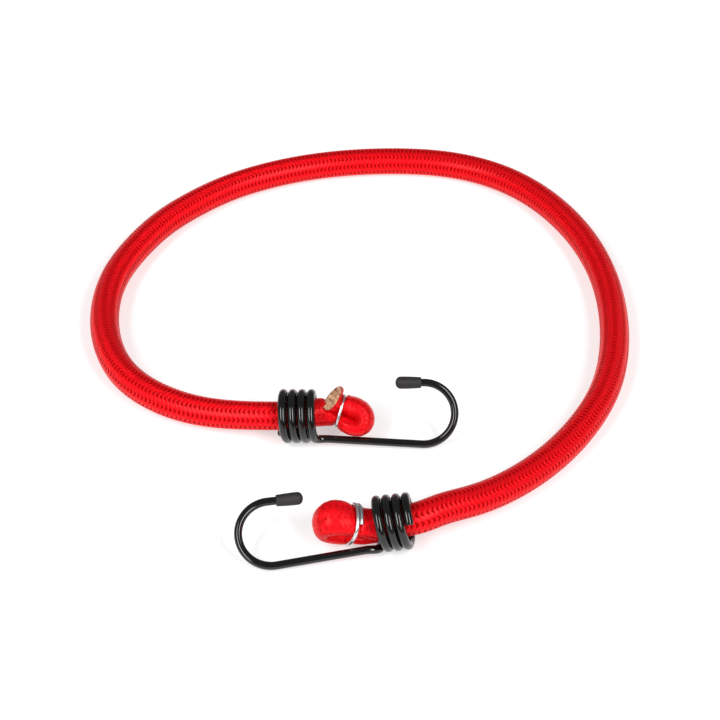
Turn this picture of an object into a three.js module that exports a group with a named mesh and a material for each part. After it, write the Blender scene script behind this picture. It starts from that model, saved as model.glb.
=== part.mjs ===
// Bungee cord with a coil hook at each end, lying in an open loop on a table. Millimetres, +Z up.
// The origin is on the table, under the middle of the two hooked ends.
import * as THREE from "three";

// Elastic cord: a braided sheath round a bundle of square-cut rubber strands.
const cordDiameter = 9.5;
const sheathWall = 0.8;
const coreClearance = 0.35;
const strandRows = 4;
const strandGap = 0.25;
const meetingGap = 0.3;
const sheathSides = 12;
const twistPoints = 4;

// Hook: one length of coated wire, wound on the cord, then a straight shank and a J.
const wireDiameter = 2.4;
const wireSides = 8;
const wireStep = 2.8;
const coilSlack = 1.1;
const coilGap = 0.54;
const coilLeaves = THREE.MathUtils.degToRad(150);
const shankSits = THREE.MathUtils.degToRad(172);
const bendRun = 4;
const bendPull = 0.6;
const shankFlare = THREE.MathUtils.degToRad(3.2);
const throatWidth = 16.6;
const throatTurn = THREE.MathUtils.degToRad(183.4);

// Vinyl cap on the end of the hook's wire.
const capDiameter = 3.8;
const capMouthDiameter = 3.4;
const capLength = 7.9;
const capGrip = 6.4;
const capClearance = 0.25;
const capSegments = 14;
const capDomeSteps = 4;

// Wire clip closed round the folded cord, its two ends side by side.
const clipWire = 1.2;
const clipSides = 6;
const clipSteps = 40;
const clipTurns = 1.16;
const clipGap = 0.5;
const clipClearance = 0.3;
const clipCornerRoom = 0.3;
const clipSquareness = 2.6;
const foldGap = 0.4;

// How closely a wire is sampled, and how far along it, in diameters, a stretch counts as another turn.
const gapSamples = 500;
const gapSkip = 3;

// The loop's route over the table, from the first hook's coil round to the second's: x, y and the rise
// of the cord above the table as it climbs into each coil.
const loopRoute = [
  [-36.9, 28.3, 1.7],
  [-48.9, 32, 0.6],
  [-60.4, 38.2, 0.2],
  [-70.9, 48.4, 0],
  [-78.2, 63.8, 0],
  [-81, 82.4, 0],
  [-79, 101.2, 0],
  [-72.9, 117.4, 0],
  [-64.7, 131.4, 0],
  [-54.9, 142.4, 0],
  [-43.7, 151.8, 0],
  [-31.7, 158.7, 0],
  [-19.3, 163.6, 0],
  [-6.4, 166.8, 0],
  [6.6, 168.4, 0],
  [19.6, 168.6, 0],
  [32.5, 167.1, 0],
  [45.1, 163, 0],
  [56.9, 155.6, 0],
  [67.3, 144.6, 0],
  [75.9, 130.4, 0],
  [82.1, 114, 0],
  [85.6, 95.9, 0],
  [86.3, 77.4, 0],
];

// The stretch before the second hook, which is drawn out when that hook is pulled.
const runRoute = [
  [84.5, 58.9, 0],
  [80.1, 41.9, 0],
  [73.1, 27.1, 0],
  [64.7, 14.7, 0],
  [55.5, 4.3, 0.4],
  [45.7, -4.3, 1.2],
  [35.7, -11.5, 2.5],
  [26.7, -16.4, 3.6],
];

// The two folded ends, in the frame of their own coil. Lengths are in cord diameters from the coil's end and
// angles in degrees: the lean of the coil's turns, the roll of the fold about the cord, the rise of its neck,
// clip and bulb, the neck and the tail's cut face as x, y, angle, half thickness and half width, the crease
// that the cord turns round, and the bulb's reach from the crease at each angle.
const endA = {
  coilAt: [-16.1, 25.4],
  lift: 0,
  heading: 0,
  dip: 0,
  tilt: 54,
  coilTurns: 3.82,
  coilLean: 0.12,
  shank: 28.7,
  tip: 7.2,
  turn: 1,
  roll: 0,
  sag: -0.7,
  rise: { neck: 0, clip: 0, bulb: 0 },
  neck: [0.26, -0.03, -97, 0.37, 0.5],
  clip: { at: [0.64, 0.16], angle: -108, halfThick: 0.215, halfWide: 0.48, startsAt: 150 },
  crease: [0.92, 0.02],
  bulbHalfWide: 0.53,
  bulb: [
    [-102, 0.61],
    [-66, 0.68],
    [-32, 0.82],
    [0, 0.87],
    [30, 0.77],
    [56, 0.67],
    [82, 0.65],
  ],
  tail: [0.5, 0.7, 54, 0.39, 0.44],
};
const endB = {
  coilAt: [12.9, -21.3],
  lift: 0.2,
  heading: -172.5,
  dip: 1.7,
  tilt: 147,
  coilTurns: 3.72,
  coilLean: 0.23,
  shank: 25.7,
  tip: 8.9,
  turn: -1,
  roll: -80,
  sag: 0.7,
  rise: { neck: 0.05, clip: 0.085, bulb: 0.19 },
  neck: [0.23, 0.17, 95, 0.36, 0.49],
  clip: { at: [0.6, 0.05], angle: 106, halfThick: 0.24, halfWide: 0.45, startsAt: 14 },
  crease: [0.945, 0.08],
  bulbHalfWide: 0.525,
  bulb: [
    [96, 0.72],
    [62, 0.78],
    [27, 0.84],
    [-8, 0.845],
    [-42, 0.75],
    [-78, 0.65],
  ],
  tail: [0.17, -0.34, -86, 0.19, 0.44],
};

// Sizes that follow from those above.
const cordRadius = cordDiameter / 2;
const restHeight = cordRadius * Math.cos(Math.PI / sheathSides);
const wireRadius = wireDiameter / 2;
const coilPitch = wireDiameter + coilGap;
const coilRadius = cordRadius + coilSlack + wireRadius;
const coilHalf = (end) => (coilPitch * end.coilTurns) / 2;
const coilEnd = (end) => coilHalf(end) + wireRadius;
const coilHeight = coilRadius + wireRadius;
const throatRadius = (throatWidth + wireDiameter) / 2;
const clipClimb = (clipWire + clipGap) * clipTurns;
const pinchHalf = (clipClimb + clipWire) / 2 + clipClearance;

const coilAxis = new THREE.Vector3(1, 0, 0);

const paint = (color, roughness, metalness) =>
  new THREE.MeshStandardMaterial({ color, roughness, metalness });

// A closed skin over rings of points: solid with flat ends, or, if closed, running back to the first ring.
function skin(rings, closed) {
  const count = rings[0].length;
  const faces = [];
  const spans = closed ? rings.length : rings.length - 1;
  for (let i = 0; i < spans; i += 1) {
    const here = i * count;
    const next = ((i + 1) % rings.length) * count;
    for (let k = 0; k < count; k += 1) {
      const turn = (k + 1) % count;
      faces.push(here + k, here + turn, next + turn, here + k, next + turn, next + k);
    }
  }
  if (!closed) {
    const last = (rings.length - 1) * count;
    for (let k = 1; k < count - 1; k += 1) {
      faces.push(0, k + 1, k, last, last + k, last + k + 1);
    }
  }
  const geometry = new THREE.BufferGeometry().setFromPoints(rings.flat());
  geometry.setIndex(faces);
  geometry.computeVertexNormals();
  return geometry;
}

// A polygon round a wire's centre line, with its flats square to the wire's own plane.
function wireSection(radius, sides) {
  const corners = [];
  for (let k = 0; k < sides; k += 1) {
    const angle = ((k + 0.5) * 2 * Math.PI) / sides;
    corners.push(new THREE.Vector2(radius * Math.cos(angle), radius * Math.sin(angle)));
  }
  return new THREE.Shape(corners);
}

// The free space between stretches of a wire that lie more than a few diameters apart along it.
function leastGap(curve, diameter) {
  const points = curve.getSpacedPoints(gapSamples);
  const spacing = curve.getLength() / gapSamples;
  const skip = Math.ceil((gapSkip * diameter) / spacing);
  let least = Infinity;
  for (let i = 0; i < points.length; i += 1) {
    for (let j = i + skip; j < points.length; j += 1) {
      least = Math.min(least, points[i].distanceTo(points[j]));
    }
  }
  return least - diameter;
}

// Right-handed coil about X, from the shank's side to the free end, its turns leaning as they were wound.
class Coil extends THREE.Curve {
  constructor(end) {
    super();
    this.half = coilHalf(end);
    this.turn = end.coilTurns * 2 * Math.PI;
    this.lean = end.coilLean;
  }

  getPoint(t, target = new THREE.Vector3()) {
    const angle = coilLeaves - t * this.turn;
    const up = coilRadius * Math.sin(angle);
    return target.set(this.half * (1 - 2 * t) - this.lean * up, coilRadius * Math.cos(angle), up);
  }
}

// The bend of the J, from the tip's side of the throat round to the shank's side.
class Throat extends THREE.Curve {
  constructor(centre, outward, across) {
    super();
    this.centre = centre;
    this.outward = outward;
    this.across = across;
  }

  getPoint(t, target = new THREE.Vector3()) {
    const angle = throatTurn * (1 - t) - Math.PI / 2;
    return target
      .copy(this.centre)
      .addScaledVector(this.outward, throatRadius * Math.cos(angle))
      .addScaledVector(this.across, throatRadius * Math.sin(angle));
  }
}

// The hook's wire, from the capped tip through the throat and shank to the coil's free end.
function hookPath(end) {
  const coil = new Coil(end);
  const outward = new THREE.Vector3(Math.cos(shankFlare), -Math.sin(shankFlare), 0);
  const across = new THREE.Vector3(Math.sin(shankFlare), Math.cos(shankFlare), 0);
  const shankStart = new THREE.Vector3(
    coilHalf(end) + bendRun,
    coilRadius * Math.cos(shankSits),
    coilRadius * Math.sin(shankSits),
  );
  const shankEnd = shankStart.clone().addScaledVector(outward, end.shank);
  const centre = shankEnd.clone().addScaledVector(across, throatRadius);
  const throat = new Throat(centre, outward, across);
  const tipWay = throat.getTangent(0).negate();
  const tipEnd = throat.getPoint(0).addScaledVector(tipWay, end.tip);
  const pull = bendRun * bendPull;
  const leave = coil.getPoint(0).addScaledVector(coil.getTangent(0), -pull);
  const path = new THREE.CurvePath();
  path.add(new THREE.LineCurve3(tipEnd, throat.getPoint(0)));
  path.add(throat);
  path.add(new THREE.LineCurve3(shankEnd, shankStart));
  path.add(
    new THREE.CubicBezierCurve3(
      shankStart,
      shankStart.clone().addScaledVector(outward, -pull),
      leave,
      coil.getPoint(0),
    ),
  );
  path.add(coil);
  return { path, tipEnd, tipWay };
}

function makeHook(name, end) {
  const { path, tipEnd, tipWay } = hookPath(end);
  const steps = Math.round(path.getLength() / wireStep);
  const geometry = new THREE.ExtrudeGeometry(wireSection(wireRadius, wireSides), {
    steps,
    extrudePath: path,
  });
  console.log(`${name}: least gap of the coil to itself ${leastGap(path, wireDiameter).toFixed(2)} mm`);
  const hook = new THREE.Mesh(geometry, paint(0x17171a, 0.35, 0.1));
  hook.name = name;
  return { hook, tipEnd, tipWay };
}

// Cap turned about its own Y axis: a blind bore from the mouth, a slight swell and a domed end.
function makeCap(name) {
  const bore = wireRadius + capClearance;
  const reach = capDiameter / 2;
  const floor = capGrip + capClearance;
  const profile = [
    new THREE.Vector2(0, floor),
    new THREE.Vector2(bore, floor),
    new THREE.Vector2(bore, 0),
    new THREE.Vector2(capMouthDiameter / 2, 0),
  ];
  for (let k = 0; k <= capDomeSteps; k += 1) {
    const angle = (k / capDomeSteps) * (Math.PI / 2);
    const radius = k === capDomeSteps ? 0 : reach * Math.cos(angle);
    profile.push(new THREE.Vector2(radius, capLength - reach + reach * Math.sin(angle)));
  }
  const cap = new THREE.Mesh(new THREE.LatheGeometry(profile, capSegments), paint(0x37343a, 0.8, 0));
  cap.name = name;
  return cap;
}

// Oval turn of wire, wide enough for the two legs of the fold, climbing by one wire where its ends pass.
class ClipTurn extends THREE.Curve {
  constructor(halfHigh, halfWide, startsAt) {
    super();
    this.halfHigh = halfHigh;
    this.halfWide = halfWide;
    this.startsAt = startsAt;
  }

  getPoint(t, target = new THREE.Vector3()) {
    const angle = THREE.MathUtils.degToRad(this.startsAt) + t * clipTurns * 2 * Math.PI;
    const power = 2 / clipSquareness;
    const high = Math.sign(Math.cos(angle)) * Math.abs(Math.cos(angle)) ** power;
    const wide = Math.sign(Math.sin(angle)) * Math.abs(Math.sin(angle)) ** power;
    const climb = clipClimb * (t - 0.5);
    return target.set(climb, this.halfHigh * high, this.halfWide * wide);
  }
}

function makeClip(name, end) {
  const room = clipClearance + clipWire / 2;
  const halfHigh = 2 * end.clip.halfThick * cordDiameter + foldGap / 2 + room;
  const halfWide = end.clip.halfWide * cordDiameter + room + clipCornerRoom;
  const turn = new ClipTurn(halfHigh, halfWide, end.clip.startsAt);
  const geometry = new THREE.ExtrudeGeometry(wireSection(clipWire / 2, clipSides), {
    steps: clipSteps,
    extrudePath: turn,
  });
  console.log(`${name}: least gap of the clip to itself ${leastGap(turn, clipWire).toFixed(2)} mm`);
  const clip = new THREE.Mesh(geometry, paint(0xb8bbc0, 0.3, 0.9));
  clip.name = name;
  const [x, y] = end.clip.at;
  clip.position.copy(inFold(end, coilEnd(end) + x * cordDiameter, y * cordDiameter, end.rise.clip));
  clip.rotation.z = THREE.MathUtils.degToRad(end.clip.angle) - (end.turn * -Math.PI) / 2;
  clip.rotation.x = THREE.MathUtils.degToRad(end.roll);
  return clip;
}

// One hooked end: the group stands at the middle of its coil, X along the coil towards the J.
function makeEnd(end, letter) {
  const group = new THREE.Group();
  group.position.set(end.coilAt[0], end.coilAt[1], coilHeight + end.lift);
  group.rotation.set(
    THREE.MathUtils.degToRad(end.tilt),
    THREE.MathUtils.degToRad(end.dip),
    THREE.MathUtils.degToRad(end.heading),
    "ZYX",
  );
  const { hook, tipEnd, tipWay } = makeHook(`hook_${letter}`, end);
  const cap = makeCap(`tip_cap_${letter}`);
  cap.position.copy(tipEnd).addScaledVector(tipWay, -capGrip);
  cap.quaternion.setFromUnitVectors(new THREE.Vector3(0, 1, 0), tipWay);
  group.add(hook, cap, makeClip(`wire_clip_${letter}`, end));
  return group;
}

// The fold lies in a plane through the coil's axis; a piece of it is turned with that plane about the axis.
function rolled(end, vector) {
  return vector.applyAxisAngle(coilAxis, THREE.MathUtils.degToRad(end.roll));
}

function inFold(end, x, y, rise) {
  return rolled(end, new THREE.Vector3(x, y, 0)).add(new THREE.Vector3(0, rise * cordDiameter, end.sag));
}

// A cross-section of the cord: its centre, its two half axes as vectors and their lengths.
function section(centre, thick, wide, halfThick, halfWide) {
  return { centre, thick, wide, halfThick, halfWide };
}

// Sections of one folded end in its coil's frame, from the middle of the coil to the cut face.
function foldSections(end) {
  const mm = (diameters) => diameters * cordDiameter;
  const place = (x, y, degrees, halfThick, halfWide, rise) => {
    const angle = THREE.MathUtils.degToRad(degrees);
    const thick = new THREE.Vector3(Math.cos(angle), Math.sin(angle), 0).multiplyScalar(end.turn);
    const wide = new THREE.Vector3(0, 0, end.turn);
    const centre = inFold(end, x, y, rise);
    return section(centre, rolled(end, thick), rolled(end, wide), halfThick, halfWide);
  };
  const listed = ([x, y, degrees, thick, wide], rise) =>
    place(coilEnd(end) + mm(x), mm(y), degrees, mm(thick), mm(wide), rise);
  const knobAxis = THREE.MathUtils.degToRad(end.clip.angle + 90 * end.turn);
  const leg = (degrees, along) => {
    const angle = THREE.MathUtils.degToRad(degrees);
    const half = mm(end.clip.halfThick);
    const out = half + foldGap / 2;
    const x = coilEnd(end) + mm(end.clip.at[0]) + out * Math.cos(angle) + along * Math.cos(knobAxis);
    const y = mm(end.clip.at[1]) + out * Math.sin(angle) + along * Math.sin(knobAxis);
    return place(x, y, degrees, half, mm(end.clip.halfWide), end.rise.clip);
  };
  const bulb = end.bulb.map(([degrees, reach]) => {
    const angle = THREE.MathUtils.degToRad(degrees);
    const half = (mm(reach) - foldGap) / 2;
    const out = half + foldGap;
    const x = coilEnd(end) + mm(end.crease[0]) + out * Math.cos(angle);
    const y = mm(end.crease[1]) + out * Math.sin(angle);
    return place(x, y, degrees, half, mm(end.bulbHalfWide), end.rise.bulb);
  });
  const entry = -90 * end.turn;
  return [
    place(meetingGap / 2, 0, entry, cordRadius, cordRadius, 0),
    place(coilHalf(end), 0, entry, cordRadius, cordRadius, 0),
    listed(end.neck, end.rise.neck),
    leg(end.clip.angle, -pinchHalf),
    leg(end.clip.angle, pinchHalf),
    ...bulb,
    leg(end.clip.angle + 180, pinchHalf),
    leg(end.clip.angle + 180, -pinchHalf),
    listed(end.tail, 0),
  ];
}

// The same sections moved into the part's frame.
function placed(sections, matrix) {
  return sections.map((s) =>
    section(
      s.centre.clone().applyMatrix4(matrix),
      s.thick.clone().transformDirection(matrix),
      s.wide.clone().transformDirection(matrix),
      s.halfThick,
      s.halfWide,
    ),
  );
}

// The cross directions of a cord that lies on the table: one flat of the sheath faces down.
function tableFrame(along) {
  const wide = along.clone().cross(new THREE.Vector3(0, 0, -1)).normalize();
  return { wide, thick: wide.clone().cross(along) };
}

// How far a section is turned about the cord from the way it would lie on the table.
function twistOf(s) {
  const { wide, thick } = tableFrame(s.thick.clone().cross(s.wide));
  return Math.atan2(s.thick.dot(wide), s.thick.dot(thick));
}

// Round sections along table points, turned about the cord by the angle given for each.
function tableSections(points, before, after, twistAt) {
  const path = [before, ...points, after];
  return points.map((point, k) => {
    const along = path[k + 2].clone().sub(path[k]).normalize();
    const { wide, thick } = tableFrame(along);
    thick.applyAxisAngle(along, twistAt(k));
    wide.applyAxisAngle(along, twistAt(k));
    return section(point, thick, wide, cordRadius, cordRadius);
  });
}

// A section moved along the cord, to leave the gap where two lengths of sheath meet.
function shifted(s, distance) {
  const along = s.thick.clone().cross(s.wide).normalize();
  const centre = s.centre.clone().addScaledVector(along, distance);
  return section(centre, s.thick, s.wide, s.halfThick, s.halfWide);
}

function ringPoint(s, halfThick, halfWide, u, v) {
  return s.centre
    .clone()
    .addScaledVector(s.thick, halfThick * u)
    .addScaledVector(s.wide, halfWide * v);
}

function sheathRing(s, inset) {
  const ring = [];
  for (let k = 0; k < sheathSides; k += 1) {
    const angle = ((k + 0.5) * 2 * Math.PI) / sheathSides;
    ring.push(
      ringPoint(s, s.halfThick - inset, s.halfWide - inset, Math.cos(angle), Math.sin(angle)),
    );
  }
  return ring;
}

function makeSheath(name, sections) {
  const outside = sections.map((s) => sheathRing(s, 0));
  const bore = sections.map((s) => sheathRing(s, sheathWall)).reverse();
  const sheath = new THREE.Mesh(skin([...outside, ...bore], true), paint(0xd81e2a, 0.55, 0));
  sheath.name = name;
  return sheath;
}

// Square strands on a grid whose corners are left out, so that the bundle fills the round bore.
function makeStrands(sections) {
  const inset = sheathWall + coreClearance;
  const middle = (strandRows - 1) / 2;
  const bundleReach = Math.hypot(strandRows / 2, strandRows / 2 - 1);
  const cell = (cordRadius - inset) / bundleReach;
  const halfSide = (cell - strandGap) / (2 * cell);
  const corners = [
    [-1, -1],
    [1, -1],
    [1, 1],
    [-1, 1],
  ];
  const rubber = [];
  for (let row = 0; row < strandRows; row += 1) {
    for (let column = 0; column < strandRows; column += 1) {
      const across = row - middle;
      const along = column - middle;
      if (Math.abs(across) === middle && Math.abs(along) === middle) continue;
      const rings = sections.map((s) =>
        corners.map(([i, j]) =>
          ringPoint(
            s,
            (s.halfThick - inset) / bundleReach,
            (s.halfWide - inset) / bundleReach,
            across + i * halfSide,
            along + j * halfSide,
          ),
        ),
      );
      const strand = new THREE.Mesh(skin(rings, false), paint(0xcaa67c, 0.85, 0));
      strand.name = `rubber_strand_${String(rubber.length + 1).padStart(2, "0")}`;
      rubber.push(strand);
    }
  }
  return rubber;
}

// The section on the loop's side of a coil's middle, and the one where the cord enters the coil.
function entrySections(end, matrix) {
  const mouth = foldSections(end)[0];
  const inside = section(mouth.centre.clone(), mouth.thick, mouth.wide, cordRadius, cordRadius);
  inside.centre.x = -meetingGap / 2;
  const entry = section(mouth.centre.clone(), mouth.thick, mouth.wide, cordRadius, cordRadius);
  entry.centre.x = -coilEnd(end);
  return placed([inside, entry], matrix);
}

const groupA = makeEnd(endA, "a");
const groupB = makeEnd(endB, "b");
groupA.updateMatrixWorld(true);
groupB.updateMatrixWorld(true);

const [insideA, entryA] = entrySections(endA, groupA.matrixWorld);
const [insideB, entryB] = entrySections(endB, groupB.matrixWorld);
const onTable = ([x, y, rise]) => new THREE.Vector3(x, y, restHeight + rise);
const loopPoints = loopRoute.map(onTable);
const runPoints = runRoute.map(onTable);
const easedOut = (points) => Math.max(0, 1 - points / twistPoints);
const loop = tableSections(
  loopPoints,
  entryA.centre,
  runPoints[0],
  (k) => twistOf(entryA) * easedOut(k + 1),
);
const run = tableSections(
  runPoints,
  loopPoints.at(-1),
  entryB.centre,
  (k) => twistOf(entryB) * easedOut(runPoints.length - k),
);
const foldA = placed(foldSections(endA), groupA.matrixWorld).reverse();
const foldB = placed(foldSections(endB), groupB.matrixWorld);
const loopEnd = shifted(loop.at(-1), -meetingGap / 2);
const runStart = shifted(loop.at(-1), meetingGap / 2);
const loopLength = [insideA, entryA, ...loop.slice(0, -1), loopEnd];
const runLength = [runStart, ...run, entryB, insideB];

const assembly = new THREE.Group();
assembly.add(
  groupA,
  groupB,
  makeSheath("sheath_end_a", foldA),
  makeSheath("sheath_loop", loopLength),
  makeSheath("sheath_run_b", runLength),
  makeSheath("sheath_end_b", foldB),
  ...makeStrands([...foldA, ...loopLength, ...runLength, ...foldB]),
);

// The origin goes under the middle of the hooked ends, leaving the free cord out.
const hooked = new THREE.Box3();
assembly.updateMatrixWorld(true);
assembly.traverse((piece) => {
  if (piece.isMesh && /^(hook|tip_cap|wire_clip|sheath_end)/.test(piece.name)) {
    hooked.expandByObject(piece, true);
  }
});
const middle = hooked.getCenter(new THREE.Vector3());
assembly.position.set(-middle.x, -middle.y, -hooked.min.z);

const bungeeCord = new THREE.Group();
bungeeCord.add(assembly);

export default bungeeCord;
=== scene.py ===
import math

import bpy
import numpy as np
from mathutils import Matrix, Vector


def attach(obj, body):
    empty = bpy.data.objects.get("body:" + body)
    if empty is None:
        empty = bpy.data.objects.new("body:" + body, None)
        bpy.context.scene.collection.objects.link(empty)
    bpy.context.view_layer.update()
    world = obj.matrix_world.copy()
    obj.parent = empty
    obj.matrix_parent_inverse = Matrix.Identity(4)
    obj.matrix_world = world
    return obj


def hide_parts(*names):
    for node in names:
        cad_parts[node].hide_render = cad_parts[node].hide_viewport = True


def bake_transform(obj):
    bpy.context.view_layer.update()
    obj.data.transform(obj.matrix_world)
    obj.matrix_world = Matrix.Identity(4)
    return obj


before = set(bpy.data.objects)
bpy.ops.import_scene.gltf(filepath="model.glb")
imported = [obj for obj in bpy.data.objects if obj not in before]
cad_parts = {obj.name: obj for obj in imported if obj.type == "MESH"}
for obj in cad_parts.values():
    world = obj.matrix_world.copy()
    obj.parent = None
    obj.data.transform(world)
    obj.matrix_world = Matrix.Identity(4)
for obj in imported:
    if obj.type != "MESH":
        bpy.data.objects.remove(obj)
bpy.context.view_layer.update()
mm = 0.001

# Sizes in millimetres and degrees; the route of the cord is that of the CAD source.
cord = {
    "diameter": 9.5,
    "rest": 4.584,
    "join": 24,  # the loop's last point, where the run starts
    "route": [
        (-36.9, 28.3, 1.7),
        (-48.9, 32.0, 0.6),
        (-60.4, 38.2, 0.2),
        (-70.9, 48.4, 0),
        (-78.2, 63.8, 0),
        (-81.0, 82.4, 0),
        (-79.0, 101.2, 0),
        (-72.9, 117.4, 0),
        (-64.7, 131.4, 0),
        (-54.9, 142.4, 0),
        (-43.7, 151.8, 0),
        (-31.7, 158.7, 0),
        (-19.3, 163.6, 0),
        (-6.4, 166.8, 0),
        (6.6, 168.4, 0),
        (19.6, 168.6, 0),
        (32.5, 167.1, 0),
        (45.1, 163.0, 0),
        (56.9, 155.6, 0),
        (67.3, 144.6, 0),
        (75.9, 130.4, 0),
        (82.1, 114.0, 0),
        (85.6, 95.9, 0),
        (86.3, 77.4, 0),
        (84.5, 58.9, 0),
        (80.1, 41.9, 0),
        (73.1, 27.1, 0),
        (64.7, 14.7, 0),
        (55.5, 4.3, 0.4),
        (45.7, -4.3, 1.2),
        (35.7, -11.2, 2.7),
        (26.7, -16.0, 3.9),
    ],
    "grip": (0.945, 12, 42),  # the first coil holds the cord narrower, up to these distances
    "mouth": (0, 3.5, 6.64),  # points of the cord inside a coil, from its middle
    "steps": 2400,
    "rows": 6,  # rows of the mesh in a pick
    "columns": (0, 0.1, 0.3, 0.5, 0.7, 0.9),  # its columns across one column of floats
    "spin": 11.25,
}
# The braid: ten yarns each way, over two and under two, so that the floats lie in ten columns.
braid = {
    "lead": 14.5,
    "cells": 20,
    "rise": 0.07,
    "bulge": 0.13,
    "flat": 0.65,
    "sink": 1.5,
    "toothShade": (1.6, 1.4),  # depth of the painted shade in the dark teeth between floats, and its fall toward a column's middle
    "filaments": 6,
    "cutBack": 0.12,  # at a cut end the sheath stops short and draws in
    "drawnIn": 0.06,
    "drawnOver": 0.5,
}
pick = braid["lead"] * mm * 2 / braid["cells"]
wire = {
    "diameter": 2.44,
    "coilDiameter": 2.74,  # the coat gathers between the turns
    "coilRadius": 7.05,
    "coilPitch": 2.87,
    "leaves": 150,  # where round the coil the last turn leaves it, and where the shank lies
    "shankSits": 172,
    "pull": 2.4,
    "flare": 3.2,
    "throatRadius": 9.5,
    "throatTurn": 183.4,
    "steps": {"tip": 9, "throat": 56, "shank": 14, "bend": 18, "coil": 200},
    "sides": 20,
}
# A row of a fold: the inner and the outer point of a section, its half width and its rise.
endA = {
    "letter": "a",
    "body": "cord",
    "coilAt": (-16.135, 25.411, 8.246),
    "heading": 0,
    "dip": 0,
    "tilt": 54,
    "roll": 0,
    "coilTurns": 3.82,
    "coilLean": 0.12,
    "shankFrom": 9.615,
    "shank": 28.7,
    "tip": 7.2,
    "turn": 1,  # which way the width of the fold runs
    "square": 2.15,  # power of the knob's outline, where 2 is an ellipse
    "sag": -0.7,  # the cord lies this far off the coil's axis
    "ride": 0,  # and leaves it by this much more toward the free cord
    "clip": {
        "at": (12.95, 1.65, 0),
        "up": (1.5, 4.5, 0),
        "side": (0, 0, 4.85),
        "startsAt": 188,
        "turns": 1.14,
    },
    "fold": [
        (0.0, 4.6, 0.0, -4.6, 4.6, 0),
        (5.2, 5.4, 5.4, -3.5, 4.5, 0),
        (8.6, 5.0, 9.0, -3.3, 4.2, 0),
        (11.1, 2.4, 10.8, -3.1, 4.2, 0),
        (12.7, 1.2, 11.6, -2.5, 4.3, 0),
        (13.9, 0.85, 12.3, -3.8, 4.7, 0),
        (15.4, 0.2, 14.1, -5.1, 5.0, 0),
        (16.7, -0.4, 16.9, -6.08, 5.1, 0),
        (17.4, -0.75, 20.2, -5.98, 5.1, 0),
        (17.55, -0.8, 22.5, -4.5, 5.1, 0),
        (17.6, -0.9, 23.75, -1.6, 5.1, 0),
        (17.55, -0.95, 23.45, 1.2, 5.1, 0),
        (17.4, -1.0, 21.9, 3.7, 5.1, 0),
        (16.7, -0.7, 19.2, 5.5, 5.1, 0),
        (15.5, -0.3, 16.9, 6.2, 5.0, 0),
        (14.6, 0.1, 15.4, 6.4, 4.8, 0),
        (13.9, 0.35, 14.9, 5.9, 4.5, 0),
        (13.0, 0.7, 14.3, 5.3, 4.3, 0),
        (12.1, 0.9, 13.9, 6.2, 4.4, 0),
        (10.5, 1.3, 14.3, 7.9, 4.5, 0),
        (6.6, 2.7, 12.3, 10.2, 4.4, 0),
    ],
    "slant": 0.4,  # of the cut face, and the fold's way out of its plane by section
    "sway": (
        0, -0.4, -1.2, -1.2, -0.7, 0.3, 1.0,
        1.3, 1.3, 1.2, 1.1, 1.0, 0.9, 0.8,
        0.6, 0.3, 0.2, 0.3, 0.8, 2.2, 4.3,
    ),
}
endB = {
    "letter": "b",
    "body": "end_b",
    "coilAt": (12.865, -21.289, 8.446),
    "heading": -172.5,
    "dip": 1.7,
    "tilt": 147,
    "roll": -80,
    "coilTurns": 3.72,
    "coilLean": 0.23,
    "shankFrom": 9.468,
    "shank": 25.7,
    "tip": 8.9,
    "turn": -1,
    "square": 2.15,
    "sag": 0.7,
    "ride": 0.6,
    "clip": {
        "at": (12.1, 0.85, -0.45),
        "up": (-2.1, 0.75, -5.25),
        "side": (-0.8, 5.35, 0.95),
        "startsAt": -16,
        "turns": 1.235,
    },
    "fold": [
        (0.0, -4.75, 0.0, 4.75, 4.75, 0),
        (5.8, -4.2, 5.8, 4.6, 4.7, 0.2),
        (8.1, -2.4, 8.0, 4.9, 4.65, 0.4),
        (9.9, -1.0, 8.7, 5.3, 4.6, 0.5),
        (12.0, 0.2, 10.3, 4.7, 4.6, 0.7),
        (13.3, 0.3, 12.0, 6.3, 5.0, 1.3),
        (14.9, 0.35, 14.6, 7.2, 5.3, 1.8),
        (16.4, 0.35, 17.5, 7.4, 5.35, 2.05),
        (17.3, 0.25, 20.8, 6.2, 5.1, 2.05),
        (17.6, 0.15, 22.9, 3.3, 4.7, 2.0),
        (17.7, 0.1, 23.6, -0.1, 4.55, 2.0),
        (17.6, 0.1, 22.9, -3.2, 4.5, 1.95),
        (17.2, 0.3, 20.8, -5.3, 4.5, 1.7),
        (16.2, 0.5, 17.8, -6.0, 4.6, 1.3),
        (15.1, 0.4, 15.9, -5.9, 4.65, 1.0),
        (13.5, 0.1, 14.5, -5.2, 4.6, 0.8),
        (12.4, -0.15, 13.1, -4.2, 4.5, 0.6),
        (11.4, -0.4, 11.8, -4.6, 4.5, 0.3),
        (9.6, -1.0, 9.9, -4.9, 4.4, 0),
        (4.9, -1.2, 5.0, -4.2, 4.15, -0.35),
    ],
    "slant": 0,
    "sway": (0,) * 20,
}


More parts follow.
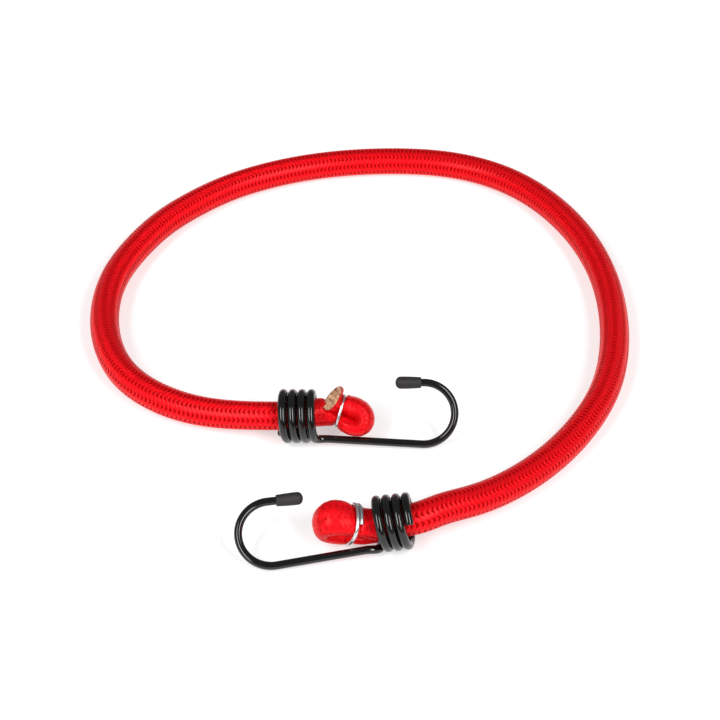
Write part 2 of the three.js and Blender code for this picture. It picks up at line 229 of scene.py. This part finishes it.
# Shader maths: a socket that takes the usual operators.
class Wire:
    def __init__(self, tree, socket=None):
        self.tree = tree
        self.socket = socket

    def node(self, kind, settings=None, inputs=None, output=0):
        made = self.tree.nodes.new(kind)
        for key, value in (settings or {}).items():
            setattr(made, key, value)
        for key, value in (inputs or {}).items():
            self.feed(made.inputs[key], value)
        return Wire(self.tree, made.outputs[output])

    def feed(self, socket, value):
        if isinstance(value, Wire):
            self.tree.links.new(value.socket, socket)
        else:
            socket.default_value = value

    def maths(self, operation, *values):
        inputs = dict(enumerate(values or (self,)))
        return self.node("ShaderNodeMath", {"operation": operation}, inputs)

    def __add__(self, other):
        return self.maths("ADD", self, other)

    def __radd__(self, other):
        return self.maths("ADD", other, self)

    def __sub__(self, other):
        return self.maths("SUBTRACT", self, other)

    def __rsub__(self, other):
        return self.maths("SUBTRACT", other, self)

    def __mul__(self, other):
        return self.maths("MULTIPLY", self, other)

    def __rmul__(self, other):
        return self.maths("MULTIPLY", other, self)

    def __truediv__(self, other):
        return self.maths("DIVIDE", self, other)

    def between(self, low, high):
        settings = {"interpolation_type": "SMOOTHSTEP"}
        inputs = {"Value": self, "From Min": low, "From Max": high}
        return self.node("ShaderNodeMapRange", settings, inputs)

    def blend(self, first, second):
        settings = {"data_type": "RGBA"}
        return self.node("ShaderNodeMix", settings, {0: self, 6: first, 7: second}, 2)

    def scaled(self, factors):
        return self.node("ShaderNodeVectorMath", {"operation": "MULTIPLY"}, {0: self, 1: factors})

    def noise(self, scale, detail=2):
        inputs = {"Vector": self, "Scale": scale, "Detail": detail}
        return self.node("ShaderNodeTexNoise", None, inputs)

    def bump(self, distance, strength=1.0):
        inputs = {"Height": self, "Distance": distance, "Strength": strength}
        return self.node("ShaderNodeBump", None, inputs)


def material(name, fixed, varying):
    made = bpy.data.materials.new(name)
    made.use_nodes = True
    shader = made.node_tree.nodes["Principled BSDF"]
    for key, value in fixed.items():
        shader.inputs[key].default_value = value
    start = Wire(made.node_tree)
    for key, value in varying(start).items():
        start.feed(shader.inputs[key], value)
    return made


# Braid: yarns run along U of the weave map, and V counts picks.
def braidLook(start):
    weave = start.node("ShaderNodeUVMap", {"uv_map": "weave"})
    grooveShade = start.node("ShaderNodeAttribute", {"attribute_name": "grooveShade"}, None, 2)
    fibre = weave.scaled((3.0, 9.0, 0)).noise(3.0, 3)
    tone = weave.scaled((0.7, 1.0, 0)).noise(1.0, 1)
    # Painted shade: the base colour falls from bright to deep red in the gaps between floats, by the
    # painted shade mask; tone and fibre noise vary it at random.
    proud = grooveShade.between(0.25, 0.6)
    lit = (proud * 0.75 + tone * 0.35 + fibre * 0.2).between(0.15, 1.05)
    across = weave.node("ShaderNodeSeparateXYZ", None, {0: weave}, 1)
    filament = (across * (braid["filaments"] * 2 * math.pi) + fibre * 3).maths("SINE")
    deep, bright = (0.36, 0.0005, 0.001, 1), (0.97, 0.004, 0.010, 1)
    return {
        "Base Color": lit.blend(deep, bright),
        "Roughness": 0.6 - 0.36 * proud,
        "Coat Weight": 0.45 * proud,
        "Normal": filament.bump(0.000026),
    }


# The other looks: scale and detail of the noise in colour, roughness and bump, and its effect.
speckles = {
    "coat": {
        "tone": (240, 2),
        "colours": ((0.0018, 0.0018, 0.0018, 1), (0.004, 0.0038, 0.0038, 1)),
        "skin": (900, 3),
        "rough": (0.10, 0.06),
        "grain": (420, 2),
        "bump": (0.00008, 0.2),
    },
    "vinyl": {
        "tone": (700, 3),
        "colours": ((0.015, 0.0135, 0.0145, 1), (0.028, 0.0255, 0.027, 1)),
        "skin": (1500, 2),
        "rough": (0.48, 0.2),
        "grain": (1800, 3),
        "bump": (0.00006, 0.5),
    },
    "steel": {
        "tone": (520, 4),
        "colours": ((0.80, 0.80, 0.81, 1), (0.58, 0.585, 0.60, 1)),
        "skin": (520, 4),
        "rough": (0.14, 0.26),
        "grain": (1400, 2),
        "bump": (0.00004, 0.4),
    },
    "rubber": {
        "tone": (1100, 3),
        "flecks": (0.42, 0.62),
        "colours": ((0.54, 0.30, 0.19, 1), (0.86, 0.58, 0.35, 1)),
        "skin": (1600, 2),
        "rough": (0.6, 0.25),
        "grain": (2200, 3),
        "bump": (0.00012, 0.7),
    },
}


def speckled(key):
    speckle = speckles[key]

    def look(start):
        place = start.node("ShaderNodeTexCoord", None, None, "Object")
        tone = place.noise(*speckle["tone"])
        if "flecks" in speckle:
            tone = tone.between(*speckle["flecks"])
        base, more = speckle["rough"]
        return {
            "Base Color": tone.blend(*speckle["colours"]),
            "Roughness": base + more * place.noise(*speckle["skin"]),
            "Normal": place.noise(*speckle["grain"]).bump(*speckle["bump"]),
        }

    return look


satin = {
    "Metallic": 0.42,
    "Specular IOR Level": 0.08,
    "Specular Tint": (1.0, 0.3, 0.3, 1),
    "Coat Roughness": 0.32,
    "Coat IOR": 1.3,
}
looks = {
    "braid": material("satin braid", satin, braidLook),
    "coat": material("black dipped coat", {"Specular IOR Level": 0.58}, speckled("coat")),
    "vinyl": material("dull vinyl", {"Specular IOR Level": 0.4}, speckled("vinyl")),
    "steel": material("bright drawn wire", {"Metallic": 1.0}, speckled("steel")),
    "rubber": material("cut latex", {"Specular IOR Level": 0.35}, speckled("rubber")),
}


def showMesh(name, points, faces, look, weave=None, grooveShade=None):
    mesh = bpy.data.meshes.new(name)
    mesh.from_pydata(points, [], faces)
    if weave is not None:
        mesh.uv_layers.new(name="weave").data.foreach_set("uv", weave.ravel())
    # The mask of painted shade between the floats goes on the mesh as a point attribute.
    if grooveShade is not None:
        grooveShadeLayer = mesh.attributes.new("grooveShade", "FLOAT", "POINT")
        grooveShadeLayer.data.foreach_set("value", grooveShade.astype(np.float32))
    mesh.materials.append(looks[look])
    mesh.shade_smooth()
    piece = bpy.data.objects.new(name, mesh)
    bpy.context.scene.collection.objects.link(piece)
    return piece


def turned(end):
    turn = Matrix.Identity(3)
    for key, axis in (("heading", "Z"), ("dip", "Y"), ("tilt", "X")):
        turn = turn @ Matrix.Rotation(math.radians(end[key]), 3, axis)
    return np.array(turn)


def inFrame(points, end):
    return (np.asarray(points) @ turned(end).T + np.array(end["coilAt"])) * mm


# Natural cubic spline through the rows of values, at the places asked for.
def spline(t, values, places):
    t, values = np.asarray(t, float), np.asarray(values, float)
    gap = np.diff(t)
    rise = np.diff(values, axis=0)
    shape = (-1,) + (1,) * (values.ndim - 1)
    slope = rise / gap.reshape(shape)
    count = len(t)
    system = np.eye(count)
    right = np.zeros_like(values)
    for k in range(1, count - 1):
        system[k, k - 1 : k + 2] = gap[k - 1], 2 * (gap[k - 1] + gap[k]), gap[k]
        right[k] = 6 * (slope[k] - slope[k - 1])
    bend = np.linalg.solve(system, right.reshape(count, -1)).reshape(values.shape)
    k = np.clip(np.searchsorted(t, places, "right") - 1, 0, count - 2)
    h = gap[k].reshape(shape)
    b = ((np.asarray(places) - t[k]).reshape(shape)) / h
    a = 1 - b
    curve = (a**3 - a) * bend[k] + (b**3 - b) * bend[k + 1]
    return a * values[k] + b * values[k + 1] + curve * h**2 / 6


def distances(points):
    return np.concatenate([[0], np.cumsum(np.linalg.norm(np.diff(points, axis=0), axis=1))])


# A line of cord: its centre and its two half axes, by distance along it, in metres.
class Line:
    def __init__(self, centre, thick, wide, square=2.0):
        self.centre, self.thick, self.wide = centre, thick, wide
        self.square = np.broadcast_to(square, len(centre))
        self.along = distances(centre)
        self.length = self.along[-1]

    def at(self, along):
        def read(values):
            return np.stack([np.interp(along, self.along, values[:, k]) for k in range(3)], -1)

        return read(self.centre), read(self.thick), read(self.wide)


def gridFaces(rows, columns):
    row, column = np.meshgrid(np.arange(rows - 1), np.arange(columns), indexing="ij")
    turn = (column + 1) % columns
    low, high = row * columns, (row + 1) * columns
    return np.stack([low + column, low + turn, high + turn, high + column], -1).reshape(-1, 4)


# Rows follow the top yarns in a zigzag; the relief sinks where the cord is folded tight.
def braidTube(name, line, first, last, rows, steps, end=None, spin=0.0, teethShade=1.0):
    cells = braid["cells"]
    u = np.concatenate([2 * column - 0.5 + 2 * np.array(steps) for column in range(cells // 2)])
    inside = (u + 0.5) % 4
    zigzag = np.where(inside < 2, inside - 1, 3 - inside)
    n = np.arange(first, last + 1)
    v = (n * 2 / rows)[:, None] - zigzag - 0.5
    along = v * pick / 2
    angle = (2 * math.pi * u / cells + spin)[None, :] * np.ones_like(v)
    rim = np.ones_like(v)
    if end:
        stop = cutAt(line, end, -np.sin(angle) * end["turn"]) - braid["cutBack"] * mm
        rim = 1 - braid["drawnIn"] * np.clip((along - stop) / (braid["drawnOver"] * mm), 0, 1)
        along = np.minimum(along, stop)
    centre, thick, wide = line.at(along)
    square = np.interp(along, line.along, line.square)[..., None]
    cos, sin = np.cos(angle)[..., None], np.sin(angle)[..., None]
    across, aside = (np.sign(c) * np.abs(c) ** (2 / square) for c in (cos, sin))
    base = centre + (thick * across + wide * aside) * rim[..., None]
    facing, beside = (np.sign(c) * np.abs(c) ** (2 - 2 / square) for c in (cos, sin))
    normal = thick * facing / (thick**2).sum(-1, keepdims=True)
    normal = normal + wide * beside / (wide**2).sum(-1, keepdims=True)
    normal /= np.linalg.norm(normal, axis=-1, keepdims=True)
    right, left = (u + v) / 2, (v - u + 1) / 2
    crest = np.cos(math.pi * (u - 0.5) / 2)
    lift = braid["rise"] * crest

    def yarn(across):
        curve = np.sqrt(np.clip(1 - (2 * (across - np.round(across))) ** 2, 0, 1))
        return braid["bulge"] * (curve + (1 - curve) * braid["flat"] * np.abs(crest))

    height = np.maximum(lift + yarn(right), yarn(left) - lift)
    top = braid["rise"] + braid["bulge"]
    upper = np.where(crest > 0, right, left)
    gap = 2 * np.abs(upper - np.round(upper))
    deep, fall = braid["toothShade"]
    # Painted shade: the mask is darkest in the gaps between floats, most at a column's edges, where
    # shade falls between the yarns.
    grooveShade = 1 - teethShade * gap * np.clip(deep - fall * crest**2, 0, 1)
    spacing = np.linalg.norm(np.gradient(base, axis=0), axis=-1) / (pick / rows)
    room = np.clip(spacing, 0, 1) ** braid["sink"]
    points = base + normal * ((height - top) * room * mm)[..., None]
    faces = gridFaces(len(n), len(u))
    edge = np.concatenate([u, [u[0] + cells]])
    row, column = np.meshgrid(np.arange(len(n) - 1), np.arange(len(u)), indexing="ij")
    corners = [(row, column), (row, column + 1), (row + 1, column + 1), (row + 1, column)]
    weave = np.stack([np.stack([edge[c], n[r] / rows], -1) for r, c in corners], 2).reshape(-1, 2)
    piece = showMesh(name, points.reshape(-1, 3), faces, "braid", weave, grooveShade.ravel())
    return piece


# The free cord, from inside one coil to inside the other.
ends = [endA, endB]
mouths = []
for end in ends:
    inside = [(-x, end["ride"] * x / cord["mouth"][-1], end["sag"]) for x in cord["mouth"]]
    mouths.append(inFrame(inside, end))
table = np.array([(x, y, cord["rest"] + rise) for x, y, rise in cord["route"]]) * mm
knots = np.concatenate([mouths[0], table, mouths[1][::-1]])
chord = distances(knots)
places = np.linspace(0, chord[-1], cord["steps"])
centre = spline(chord, knots, places)
heading = np.gradient(centre, axis=0)
heading /= np.linalg.norm(heading, axis=1, keepdims=True)
wideWay = np.cross(heading, (0, 0, -1))
wideWay /= np.linalg.norm(wideWay, axis=1, keepdims=True)
thickWay = np.cross(wideWay, heading)
narrow, gripEnds, fullFrom = cord["grip"]
full = np.interp(places, (gripEnds * mm, fullFrom * mm), (narrow, 1))[:, None]
half = cord["diameter"] / 2 * mm * full
free = Line(centre, thickWay * half, wideWay * half)
joinAt = np.interp(chord[len(mouths[0]) - 1 + cord["join"]], places, free.along)
joinRow = round(joinAt / pick * cord["rows"])
lastRow = round(free.length / pick * cord["rows"])
spin = math.radians(cord["spin"])
loop = braidTube("braided_loop", free, 0, joinRow, cord["rows"], cord["columns"], spin=spin)
run = braidTube("braided_run", free, joinRow, lastRow, cord["rows"], cord["columns"], spin=spin)
print("free cord", round(free.length, 4), "m, loop", round(joinAt, 4), "m")


def pointsAlong(start, end, count):
    return free.at(np.linspace(start, end, count))[0]


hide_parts("sheath_loop")
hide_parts("sheath_run_b")
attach(loop, "cord")
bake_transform(run)
loopPath = pointsAlong(0, joinAt, 200)
runPath = pointsAlong(joinAt, free.length, 90)


wireEnd = {"blunt": 0.25, "angles": (30, 60, 82), "tip": 0.02}
leanWay = (0.3, 0.5, 0.8)  # any direction that no wire or cap follows


# A round wire swept along points, its ends rounded over; radius may change along it.
def sweep(name, points, radius, sides, look):
    points = np.asarray(points, float)
    blunt = wireEnd["blunt"]
    tangent = np.gradient(points, axis=0)
    tangent /= np.linalg.norm(tangent, axis=1, keepdims=True)
    side = np.cross(tangent[0], leanWay)
    side /= np.linalg.norm(side)
    sideways = []
    for way in tangent:
        side = side - way * side.dot(way)
        side /= np.linalg.norm(side)
        sideways.append(side)
    sideways = np.array(sideways)
    other = np.cross(tangent, sideways)
    radius = np.broadcast_to(radius, len(points)).astype(float)
    rings = list(zip(points, sideways, other, radius))

    def endRing(at, outward, degrees):
        a = math.radians(degrees)
        point = points[at] + outward * math.sin(a)
        return point, sideways[at], other[at], radius[at] * (1 - blunt + blunt * math.cos(a))

    back, ahead = (way * blunt * r for way, r in ((-tangent[0], radius[0]), (tangent[-1], radius[-1])))
    rings = [endRing(0, back, a) for a in wireEnd["angles"][::-1]] + rings
    rings += [endRing(-1, ahead, a) for a in wireEnd["angles"]]
    angle = np.linspace(0, 2 * math.pi, sides, endpoint=False)[:, None]
    made = np.array([c + r * (np.cos(angle) * p + np.sin(angle) * q) for c, p, q, r in rings])
    count = len(rings)
    tips = [rings[0][0] + back * wireEnd["tip"], rings[-1][0] + ahead * wireEnd["tip"]]
    faces = gridFaces(count, sides).tolist()
    for k in range(sides):
        turn, lastRing = (k + 1) % sides, (count - 1) * sides
        faces.append((count * sides, turn, k))
        faces.append((count * sides + 1, lastRing + k, lastRing + turn))
    return showMesh(name, np.concatenate([made.reshape(-1, 3), tips]), faces, look)


# The hook's wire in the coil's frame: tip, J, shank, bend and coil.
def hookLine(end):
    steps = wire["steps"]

    def share(stretch):
        return np.linspace(0, 1, steps[stretch])[:, None]

    flare = math.radians(wire["flare"])
    outward = np.array((math.cos(flare), -math.sin(flare), 0))
    across = np.array((math.sin(flare), math.cos(flare), 0))
    sits = math.radians(wire["shankSits"])
    coilRadius = wire["coilRadius"]
    shankStart = np.array((end["shankFrom"], coilRadius * math.cos(sits), coilRadius * math.sin(sits)))
    shankEnd = shankStart + outward * end["shank"]
    centre = shankEnd + across * wire["throatRadius"]
    turn = math.radians(wire["throatTurn"])
    angle = turn * (1 - share("throat")) - math.pi / 2
    throat = centre + wire["throatRadius"] * (outward * np.cos(angle) + across * np.sin(angle))
    way = across * math.cos(turn - math.pi / 2) - outward * math.sin(turn - math.pi / 2)
    tip = throat[0] + way * end["tip"]
    coilHalf = wire["coilPitch"] * end["coilTurns"] / 2
    lap = share("coil")
    spin = math.radians(wire["leaves"]) - lap * end["coilTurns"] * 2 * math.pi
    coil = np.hstack([coilHalf * (1 - 2 * lap), coilRadius * np.cos(spin), coilRadius * np.sin(spin)])
    coil[:, 0] -= end["coilLean"] * coil[:, 2]
    leaving = coil[0] - coil[1]
    leave = coil[0] + leaving / np.linalg.norm(leaving) * wire["pull"]
    turnIn = shankStart - outward * wire["pull"]
    t = share("bend")
    s = 1 - t
    bend = s**3 * shankStart + 3 * t * s**2 * turnIn + 3 * t**2 * s * leave + t**3 * coil[0]
    straight = tip + (throat[0] - tip) * share("tip")
    shank = shankEnd + (shankStart - shankEnd) * share("shank")
    straights = [straight[:-1], throat[:-1], shank[:-1]]
    bare = sum(len(stretch) for stretch in straights)
    points = np.concatenate(straights + [bend[:-1], coil])
    sizes = wire["diameter"], wire["coilDiameter"]
    swell = np.interp(np.arange(len(points)), (bare, bare + len(bend)), sizes)
    return points, swell / 2, tip, way


cap = {
    "length": 7.9,
    "grip": 6.4,
    "radius": 1.9,
    "mouth": 1.7,
    "bore": 1.25,
    "boreDepth": 2.5,
    "lip": 0.16,
    "lipStarts": 0.12,
    "lipAngles": (1.2, 0.8, 0.4, 0),
    "swell": ((0.12, 0.25), (0.28, 0.6), (0.45, 0.9), (0.6, 1.0)),  # shares of length and of swelling
    "dome": 0.82,
    "domeAngles": (0, 12, 24, 36, 48, 60, 70, 79, 86, 90),
    "domeEnds": 0.001,
    "sides": 40,
}


def lathe(name, profile, origin, axis, sides, look):
    axis = np.asarray(axis) / np.linalg.norm(axis)
    side = np.cross(axis, leanWay)
    side /= np.linalg.norm(side)
    other = np.cross(axis, side)
    angle = np.linspace(0, 2 * math.pi, sides, endpoint=False)[:, None]
    circle = np.cos(angle) * side + np.sin(angle) * other
    rings = [origin + axis * along + radius * circle for along, radius in profile]
    return showMesh(name, np.concatenate(rings), gridFaces(len(rings), sides), look)


# From inside the bore round the lip to the dome: distance from the mouth, and radius.
def capProfile():
    reach, mouth, bore, lip = (cap[key] for key in ("radius", "mouth", "bore", "lip"))
    inner = [(cap["boreDepth"], bore), (lip, bore), (0, bore + cap["lipStarts"])]
    rim = [(lip - lip * math.sin(a), mouth - lip + lip * math.cos(a)) for a in cap["lipAngles"]]
    swell = [(cap["length"] * k, mouth + (reach - mouth) * s) for k, s in cap["swell"]]
    high = reach * cap["dome"]
    dome = []
    for degrees in cap["domeAngles"]:
        a = math.radians(degrees)
        along = cap["length"] - high + high * math.sin(a)
        dome.append((along, max(reach * math.cos(a), cap["domeEnds"])))
    return inner + rim + swell + dome


# The wire clip: an oval round both legs of the fold, its ends side by side.
clipWire = {"diameter": 1.18, "climb": 1.25, "squareness": 2.5, "steps": 130, "sides": 14}


def clipLine(end):
    clip = end["clip"]
    t = np.linspace(0, 1, clipWire["steps"])[:, None]
    angle = math.radians(clip["startsAt"]) + t * clip["turns"] * 2 * math.pi
    power = 2 / clipWire["squareness"]
    up, side = np.array(clip["up"]), np.array(clip["side"])
    climb = np.cross(up, side)
    climb *= clipWire["climb"] * clip["turns"] / np.linalg.norm(climb)
    high = np.sign(np.cos(angle)) * np.abs(np.cos(angle)) ** power
    wide = np.sign(np.sin(angle)) * np.abs(np.sin(angle)) ** power
    return np.array(clip["at"]) + (0, 0, end["sag"]) + up * high + side * wide + climb * (t - 0.5)


# Smooth steps through the rows of values, without overshooting where limited.
def eased(t, values, places, limited):
    gap = np.diff(t)[:, None]
    slope = np.diff(values, axis=0) / gap
    lead = np.zeros_like(values)
    lead[1:-1] = (gap[1:] * slope[:-1] + gap[:-1] * slope[1:]) / (gap[1:] + gap[:-1])
    lead[0], lead[-1] = slope[0], slope[-1]
    if limited:
        reach = 2 * np.minimum(np.abs(slope[:-1]), np.abs(slope[1:])) * (slope[:-1] * slope[1:] > 0)
        lead[1:-1] = np.clip(lead[1:-1], -reach, reach)
    k = np.clip(np.searchsorted(t, places, "right") - 1, 0, len(t) - 2)
    h = gap[k]
    b = ((places - t[k]) / gap[k, 0])[:, None]
    return (
        values[k] * (1 + 2 * b) * (1 - b) ** 2
        + values[k + 1] * b**2 * (3 - 2 * b)
        + lead[k] * h * b * (1 - b) ** 2
        + lead[k + 1] * h * b**2 * (b - 1)
    )


# The folded ends: rows and columns of their mesh, as for the free cord, and softer painted shade in
# the teeth.
fold = {
    "steps": 600,
    "rows": 8,
    "columns": (0, 0.06, 0.14, 0.26, 0.4, 0.5, 0.6, 0.74, 0.86, 0.94),
    "teethShade": 0.68,
    "squared": (1, 4, -4, -1),  # the sections between which the knob's outline gets squarer
}


def foldLine(end):
    rows = np.array(end["fold"])
    middle = (rows[:, 0:2] + rows[:, 2:4]) / 2
    t = distances(middle)
    places = np.linspace(0, t[-1], fold["steps"])
    inner, outer = (eased(t, rows[:, k : k + 2], places, False) for k in (0, 2))
    wide, rise = eased(t, rows[:, 4:6], places, True).T
    roll = math.radians(end["roll"])
    acrossWay = np.array((0, math.cos(roll), math.sin(roll)))
    sideWay = np.array((0, -math.sin(roll), math.cos(roll)))

    def solid(flat):
        return flat[:, :1] * np.array((1, 0, 0)) + flat[:, 1:] * acrossWay

    sway = eased(t, np.array(end["sway"], float)[:, None], places, True)[:, 0]
    centre = solid((inner + outer) / 2) + np.stack([rise * 0, rise, sway + end["sag"]], -1)
    turn = turned(end).T
    square = end["square"]
    return Line(
        inFrame(centre, end),
        solid((outer - inner) / 2) @ turn * mm,
        (-end["turn"] * wide)[:, None] * sideWay @ turn * mm,
        np.interp(places, t[list(fold["squared"])], (2.0, square, square, 2.0)),
    )


# Where the slanting cut ends the cord, by the place across its width, from -1 at the back.
def cutAt(line, end, across):
    return line.length - end["slant"] * np.linalg.norm(line.wide[-1]) * (1 + across)


# The cut face: rubber strands in a square grid, in shares of the cord's half width, each a little off.
cut = {
    "seed": 7,
    "strands": 5,
    "half": 0.98,
    "keeps": 1.05,
    "off": 0.012,
    "proud": 0.03,
    "spin": 0.1,
    "tilt": 0.05,
    "corners": 8,
    "rings": ((2.0, 0.51), (0.05, 0.51), (0.0, 0.49)),  # depth, and half size in shares of a cell
    "squareness": 0.8,
    "within": 0.95,
}


def cutCore(name, line, end):
    rng = np.random.default_rng(cut["seed"])
    half, corners = cut["half"], cut["corners"]
    cell = 2 * half / cut["strands"]
    grid = [(k + 0.5) * cell - half for k in range(cut["strands"])]
    points, faces = [], []
    around = np.linspace(0, 2 * math.pi, corners, endpoint=False) + math.pi / corners
    for p in grid:
        for q in grid:
            if math.hypot(p, q) > cut["keeps"]:
                continue
            middle = p + rng.normal(0, cut["off"]), q + rng.normal(0, cut["off"])
            proud = rng.normal(0, cut["proud"]) * mm
            spin = rng.normal(0, cut["spin"])
            tilt = rng.normal(0, cut["tilt"], 2) * mm
            start = len(points)
            level = cutAt(line, end, -middle[1] * end["turn"])
            for depth, size in cut["rings"]:
                for a in around:
                    x, y = np.cos(a + spin), np.sin(a + spin)
                    reach = size * cell / max(abs(np.cos(a)), abs(np.sin(a))) ** cut["squareness"]
                    along = level - depth * mm + proud + tilt @ (x, y)
                    centre, thick, wide = line.at(np.array([along]))
                    excess = max(along - line.length, 0)
                    way = np.cross(thick[0], wide[0])
                    way /= np.linalg.norm(way)
                    spot = np.array((middle[0] + reach * x, middle[1] + reach * y))
                    spot *= min(1, cut["within"] / np.linalg.norm(spot))
                    points.append(centre[0] + thick[0] * spot[0] + wide[0] * spot[1] + way * excess)
            sides = gridFaces(len(cut["rings"]), corners) + start
            faces.extend(sides.tolist())
            faces.append(tuple(range(len(points) - corners, len(points))))
    return showMesh(name, points, faces, "rubber")


strands = [f"rubber_strand_{k:02d}" for k in range(1, 13)]
for end in ends:
    letter = end["letter"]
    points, radius, tip, way = hookLine(end)
    hook = sweep(f"hook_wire_{letter}", inFrame(points, end), radius * mm, wire["sides"], "coat")
    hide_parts(f"hook_{letter}")
    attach(hook, f"hook_{letter}")
    tipWay = turned(end) @ way
    mouth = inFrame([tip - way * cap["grip"]], end)[0]
    profile = [(x * mm, r * mm) for x, r in capProfile()]
    cover = lathe(f"vinyl_cap_{letter}", profile, mouth, tipWay, cap["sides"], "vinyl")
    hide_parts(f"tip_cap_{letter}")
    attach(cover, f"hook_{letter}")
    clipRadius = clipWire["diameter"] / 2 * mm
    clip = sweep(f"clip_{letter}", inFrame(clipLine(end), end), clipRadius, clipWire["sides"], "steel")
    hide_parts(f"wire_clip_{letter}")
    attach(clip, end["body"])
    line = foldLine(end)
    rows = fold["rows"]
    lastRow = round(line.length / pick * rows) + rows
    name = f"folded_end_{letter}"
    knob = braidTube(name, line, 0, lastRow, rows, fold["columns"], end, teethShade=fold["teethShade"])
    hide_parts(f"sheath_end_{letter}")
    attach(knob, end["body"])
    core = cutCore(f"cut_core_{letter}", line, end)
    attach(core, end["body"])
    if letter == "a":
        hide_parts(*strands)
    print("end", letter, round(line.length, 4))


# Floor, lights, world and camera; sizes of the stage in metres.
stage = {"floorHalf": 3, "floorDrop": 0.00002, "world": 0.22}
softboxes = {"elevation": 40, "distance": 1.8, "size": (0.5, 1.8), "power": 23}
target = Vector((3.088, 56.387, 4.748)) * mm


def floorLook(start):
    ways = [f"Is {way} Ray" for way in ("Camera", "Glossy", "Transmission")]
    camera, glossy, through = (start.node("ShaderNodeLightPath", None, None, way) for way in ways)
    seen = start.maths("MAXIMUM", start.maths("MAXIMUM", camera, glossy), through)
    return {"Base Color": (0.7, 0.7, 0.7, 1), "Emission Color": seen.blend((0, 0, 0, 1), (1, 1, 1, 1))}


def floor():
    mesh = bpy.data.meshes.new("floor")
    far = stage["floorHalf"]
    corners = [(-far, -far, 0), (far, -far, 0), (far, far, 0), (-far, far, 0)]
    mesh.from_pydata(corners, [], [(0, 1, 2, 3)])
    piece = bpy.data.objects.new("floor", mesh)
    piece.location = (0, 0, -stage["floorDrop"])
    bpy.context.scene.collection.objects.link(piece)
    matt = {"Roughness": 0.9, "Specular IOR Level": 0.1, "Emission Strength": 0.46}
    mesh.materials.append(material("pale floor", matt, floorLook))


def softbox(name, azimuth):
    a, e = math.radians(azimuth), math.radians(softboxes["elevation"])
    back = Vector((math.sin(a) * math.cos(e), -math.cos(a) * math.cos(e), math.sin(e)))
    light = bpy.data.lights.new(name, "AREA")
    light.shape = "ELLIPSE"
    light.size, light.size_y = softboxes["size"]
    light.energy = softboxes["power"]
    lamp = bpy.data.objects.new(name, light)
    lamp.location = target + back * softboxes["distance"]
    lamp.rotation_mode = "QUATERNION"
    upright = back.cross(Vector((1, 0, 0))).normalized()
    facing = Matrix((upright.cross(back), upright, back)).transposed()
    lamp.rotation_quaternion = facing.to_quaternion()
    bpy.context.scene.collection.objects.link(lamp)


floor()
softbox("left box", -43)
softbox("right box", 43)

world = bpy.data.worlds.new("studio")
bpy.context.scene.world = world
world.use_nodes = True
sky = world.node_tree.nodes["Background"]
sky.inputs["Color"].default_value = (1, 1, 1, 1)
sky.inputs["Strength"].default_value = stage["world"]

lens = bpy.data.cameras.new("camera")
lens.lens = 102.2
lens.sensor_width = 36
camera = bpy.data.objects.new("camera", lens)
camera.location = Vector((3.088, -444.989, 425.453)) * mm
camera.rotation_mode = "QUATERNION"
camera.rotation_quaternion = (target - camera.location).to_track_quat("-Z", "Y")
bpy.context.scene.collection.objects.link(camera)
bpy.context.scene.camera = camera
bpy.context.scene.view_settings.view_transform = "Standard"
